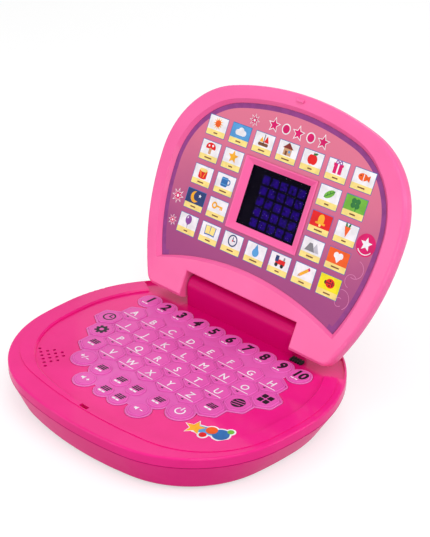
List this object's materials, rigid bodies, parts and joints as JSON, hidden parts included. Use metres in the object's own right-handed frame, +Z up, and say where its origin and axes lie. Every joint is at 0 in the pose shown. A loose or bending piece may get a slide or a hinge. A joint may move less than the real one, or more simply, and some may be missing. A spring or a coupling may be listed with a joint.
{
  "type": "toy laptop computer",
  "caption": "Clamshell toy laptop: rounded magenta base with a hexagonal sprung keypad and speaker grille, and a pink lid with a small display in a printed panel, on a barrel hinge.",
  "frame": {"origin": "on the desk, under the middle of the open toy", "axes": "+X to the right of someone at the keypad, +Y to the rear where the hinge is, +Z up"},
  "size_m": [0.2188, 0.219, 0.1763],
  "materials": {
    "base_plastic": "glossy moulded magenta",
    "lid_plastic": "glossy moulded pink",
    "keypad_sheet": "satin moulded violet pink",
    "key_rubber": "satin, printed",
    "membrane_film": "matte film",
    "printed_panel": "printed film",
    "clear_window": "clear",
    "display_module": "dark display",
    "steel": "bright",
    "sleeve_rubber": "black",
    "speaker_metal": "black",
    "circuit_board": "solder mask",
    "cell_can": "plain sleeve",
    "foot_rubber": "matte"
  },
  "bodies": {
    "base": {"base_bottom_case": "base_plastic", "base_top_cover": "base_plastic", "keypad_sheet": "keypad_sheet", "switch_membrane": "membrane_film", "hinge_pins": "steel", "cable_sleeve": "sleeve_rubber", "speaker": "speaker_metal", "main_circuit_board": "circuit_board", "battery_cells": "cell_can", "battery_contacts": "steel", "battery_door": "base_plastic", "case_screws": "steel", "rubber_feet": "foot_rubber"},
    "lid": {"lid_front_frame": "lid_plastic", "lid_back_cover": "lid_plastic", "picture_panel": "printed_panel", "display_window": "clear_window", "display_module": "display_module", "lid_screws": "steel"},
    "letter_key_a": {"letter_key_a": "key_rubber"},
    "letter_key_b": {"letter_key_b": "key_rubber"},
    "letter_key_c": {"letter_key_c": "key_rubber"},
    "letter_key_d": {"letter_key_d": "key_rubber"},
    "letter_key_e": {"letter_key_e": "key_rubber"},
    "letter_key_f": {"letter_key_f": "key_rubber"},
    "letter_key_g": {"letter_key_g": "key_rubber"},
    "letter_key_h": {"letter_key_h": "key_rubber"},
    "letter_key_i": {"letter_key_i": "key_rubber"},
    "letter_key_j": {"letter_key_j": "key_rubber"},
    "letter_key_k": {"letter_key_k": "key_rubber"},
    "letter_key_l": {"letter_key_l": "key_rubber"},
    "letter_key_m": {"letter_key_m": "key_rubber"},
    "letter_key_n": {"letter_key_n": "key_rubber"},
    "letter_key_o": {"letter_key_o": "key_rubber"},
    "letter_key_p": {"letter_key_p": "key_rubber"},
    "letter_key_q": {"letter_key_q": "key_rubber"},
    "letter_key_r": {"letter_key_r": "key_rubber"},
    "letter_key_s": {"letter_key_s": "key_rubber"},
    "letter_key_t": {"letter_key_t": "key_rubber"},
    "letter_key_u": {"letter_key_u": "key_rubber"},
    "letter_key_v": {"letter_key_v": "key_rubber"},
    "letter_key_w": {"letter_key_w": "key_rubber"},
    "letter_key_x": {"letter_key_x": "key_rubber"},
    "letter_key_y": {"letter_key_y": "key_rubber"},
    "letter_key_z": {"letter_key_z": "key_rubber"},
    "number_key_1": {"number_key_1": "key_rubber"},
    "number_key_2": {"number_key_2": "key_rubber"},
    "number_key_3": {"number_key_3": "key_rubber"},
    "number_key_4": {"number_key_4": "key_rubber"},
    "number_key_5": {"number_key_5": "key_rubber"},
    "number_key_6": {"number_key_6": "key_rubber"},
    "number_key_7": {"number_key_7": "key_rubber"},
    "number_key_8": {"number_key_8": "key_rubber"},
    "number_key_9": {"number_key_9": "key_rubber"},
    "number_key_10": {"number_key_10": "key_rubber"},
    "power_key": {"power_key": "key_rubber"},
    "volume_up_key": {"volume_up_key": "key_rubber"},
    "volume_down_key": {"volume_down_key": "key_rubber"},
    "picture_keys": {"picture_keys": "key_rubber"},
    "mode_keys": {"mode_keys": "key_rubber"}
  },
  "joints": [
    {"name": "lid_hinge", "type": "hinge", "parent": "base", "child": "lid", "pos_m": [0, 0.04875, 0.04005], "axis": [-1, 0, 0], "range_deg": [-114.77, 15]},
    {"name": "letter_key_a_press", "type": "slide", "parent": "base", "child": "letter_key_a", "axis": [0, 0, -1], "range_m": [0, 0.0008], "stiffness_N_per_m": 1000},
    {"name": "letter_key_b_press", "type": "slide", "parent": "base", "child": "letter_key_b", "axis": [0, 0, -1], "range_m": [0, 0.0008], "stiffness_N_per_m": 1000},
    {"name": "letter_key_c_press", "type": "slide", "parent": "base", "child": "letter_key_c", "axis": [0, 0, -1], "range_m": [0, 0.0008], "stiffness_N_per_m": 1000},
    {"name": "letter_key_d_press", "type": "slide", "parent": "base", "child": "letter_key_d", "axis": [0, 0, -1], "range_m": [0, 0.0008], "stiffness_N_per_m": 1000},
    {"name": "letter_key_e_press", "type": "slide", "parent": "base", "child": "letter_key_e", "axis": [0, 0, -1], "range_m": [0, 0.0008], "stiffness_N_per_m": 1000},
    {"name": "letter_key_f_press", "type": "slide", "parent": "base", "child": "letter_key_f", "axis": [0, 0, -1], "range_m": [0, 0.0008], "stiffness_N_per_m": 1000},
    {"name": "letter_key_g_press", "type": "slide", "parent": "base", "child": "letter_key_g", "axis": [0, 0, -1], "range_m": [0, 0.0008], "stiffness_N_per_m": 1000},
    {"name": "letter_key_h_press", "type": "slide", "parent": "base", "child": "letter_key_h", "axis": [0, 0, -1], "range_m": [0, 0.0008], "stiffness_N_per_m": 1000},
    {"name": "letter_key_i_press", "type": "slide", "parent": "base", "child": "letter_key_i", "axis": [0, 0, -1], "range_m": [0, 0.0008], "stiffness_N_per_m": 1000},
    {"name": "letter_key_j_press", "type": "slide", "parent": "base", "child": "letter_key_j", "axis": [0, 0, -1], "range_m": [0, 0.0008], "stiffness_N_per_m": 1000},
    {"name": "letter_key_k_press", "type": "slide", "parent": "base", "child": "letter_key_k", "axis": [0, 0, -1], "range_m": [0, 0.0008], "stiffness_N_per_m": 1000},
    {"name": "letter_key_l_press", "type": "slide", "parent": "base", "child": "letter_key_l", "axis": [0, 0, -1], "range_m": [0, 0.0008], "stiffness_N_per_m": 1000},
    {"name": "letter_key_m_press", "type": "slide", "parent": "base", "child": "letter_key_m", "axis": [0, 0, -1], "range_m": [0, 0.0008], "stiffness_N_per_m": 1000},
    {"name": "letter_key_n_press", "type": "slide", "parent": "base", "child": "letter_key_n", "axis": [0, 0, -1], "range_m": [0, 0.0008], "stiffness_N_per_m": 1000},
    {"name": "letter_key_o_press", "type": "slide", "parent": "base", "child": "letter_key_o", "axis": [0, 0, -1], "range_m": [0, 0.0008], "stiffness_N_per_m": 1000},
    {"name": "letter_key_p_press", "type": "slide", "parent": "base", "child": "letter_key_p", "axis": [0, 0, -1], "range_m": [0, 0.0008], "stiffness_N_per_m": 1000},
    {"name": "letter_key_q_press", "type": "slide", "parent": "base", "child": "letter_key_q", "axis": [0, 0, -1], "range_m": [0, 0.0008], "stiffness_N_per_m": 1000},
    {"name": "letter_key_r_press", "type": "slide", "parent": "base", "child": "letter_key_r", "axis": [0, 0, -1], "range_m": [0, 0.0008], "stiffness_N_per_m": 1000},
    {"name": "letter_key_s_press", "type": "slide", "parent": "base", "child": "letter_key_s", "axis": [0, 0, -1], "range_m": [0, 0.0008], "stiffness_N_per_m": 1000},
    {"name": "letter_key_t_press", "type": "slide", "parent": "base", "child": "letter_key_t", "axis": [0, 0, -1], "range_m": [0, 0.0008], "stiffness_N_per_m": 1000},
    {"name": "letter_key_u_press", "type": "slide", "parent": "base", "child": "letter_key_u", "axis": [0, 0, -1], "range_m": [0, 0.0008], "stiffness_N_per_m": 1000},
    {"name": "letter_key_v_press", "type": "slide", "parent": "base", "child": "letter_key_v", "axis": [0, 0, -1], "range_m": [0, 0.0008], "stiffness_N_per_m": 1000},
    {"name": "letter_key_w_press", "type": "slide", "parent": "base", "child": "letter_key_w", "axis": [0, 0, -1], "range_m": [0, 0.0008], "stiffness_N_per_m": 1000},
    {"name": "letter_key_x_press", "type": "slide", "parent": "base", "child": "letter_key_x", "axis": [0, 0, -1], "range_m": [0, 0.0008], "stiffness_N_per_m": 1000},
    {"name": "letter_key_y_press", "type": "slide", "parent": "base", "child": "letter_key_y", "axis": [0, 0, -1], "range_m": [0, 0.0008], "stiffness_N_per_m": 1000},
    {"name": "letter_key_z_press", "type": "slide", "parent": "base", "child": "letter_key_z", "axis": [0, 0, -1], "range_m": [0, 0.0008], "stiffness_N_per_m": 1000},
    {"name": "number_key_1_press", "type": "slide", "parent": "base", "child": "number_key_1", "axis": [0, 0, -1], "range_m": [0, 0.0008], "stiffness_N_per_m": 1000},
    {"name": "number_key_2_press", "type": "slide", "parent": "base", "child": "number_key_2", "axis": [0, 0, -1], "range_m": [0, 0.0008], "stiffness_N_per_m": 1000},
    {"name": "number_key_3_press", "type": "slide", "parent": "base", "child": "number_key_3", "axis": [0, 0, -1], "range_m": [0, 0.0008], "stiffness_N_per_m": 1000},
    {"name": "number_key_4_press", "type": "slide", "parent": "base", "child": "number_key_4", "axis": [0, 0, -1], "range_m": [0, 0.0008], "stiffness_N_per_m": 1000},
    {"name": "number_key_5_press", "type": "slide", "parent": "base", "child": "number_key_5", "axis": [0, 0, -1], "range_m": [0, 0.0008], "stiffness_N_per_m": 1000},
    {"name": "number_key_6_press", "type": "slide", "parent": "base", "child": "number_key_6", "axis": [0, 0, -1], "range_m": [0, 0.0008], "stiffness_N_per_m": 1000},
    {"name": "number_key_7_press", "type": "slide", "parent": "base", "child": "number_key_7", "axis": [0, 0, -1], "range_m": [0, 0.0008], "stiffness_N_per_m": 1000},
    {"name": "number_key_8_press", "type": "slide", "parent": "base", "child": "number_key_8", "axis": [0, 0, -1], "range_m": [0, 0.0008], "stiffness_N_per_m": 1000},
    {"name": "number_key_9_press", "type": "slide", "parent": "base", "child": "number_key_9", "axis": [0, 0, -1], "range_m": [0, 0.0008], "stiffness_N_per_m": 1000},
    {"name": "number_key_10_press", "type": "slide", "parent": "base", "child": "number_key_10", "axis": [0, 0, -1], "range_m": [0, 0.0008], "stiffness_N_per_m": 1000},
    {"name": "power_key_press", "type": "slide", "parent": "base", "child": "power_key", "axis": [0, 0, -1], "range_m": [0, 0.0008], "stiffness_N_per_m": 1000},
    {"name": "volume_up_key_press", "type": "slide", "parent": "base", "child": "volume_up_key", "axis": [0, 0, -1], "range_m": [0, 0.0008], "stiffness_N_per_m": 1000},
    {"name": "volume_down_key_press", "type": "slide", "parent": "base", "child": "volume_down_key", "axis": [0, 0, -1], "range_m": [0, 0.0008], "stiffness_N_per_m": 1000},
    {"name": "picture_keys_press", "type": "slide", "parent": "base", "child": "picture_keys", "axis": [0, 0, -1], "range_m": [0, 0.0008], "stiffness_N_per_m": 1000},
    {"name": "mode_keys_press", "type": "slide", "parent": "base", "child": "mode_keys", "axis": [0, 0, -1], "range_m": [0, 0.0008], "stiffness_N_per_m": 1000}
  ]
}
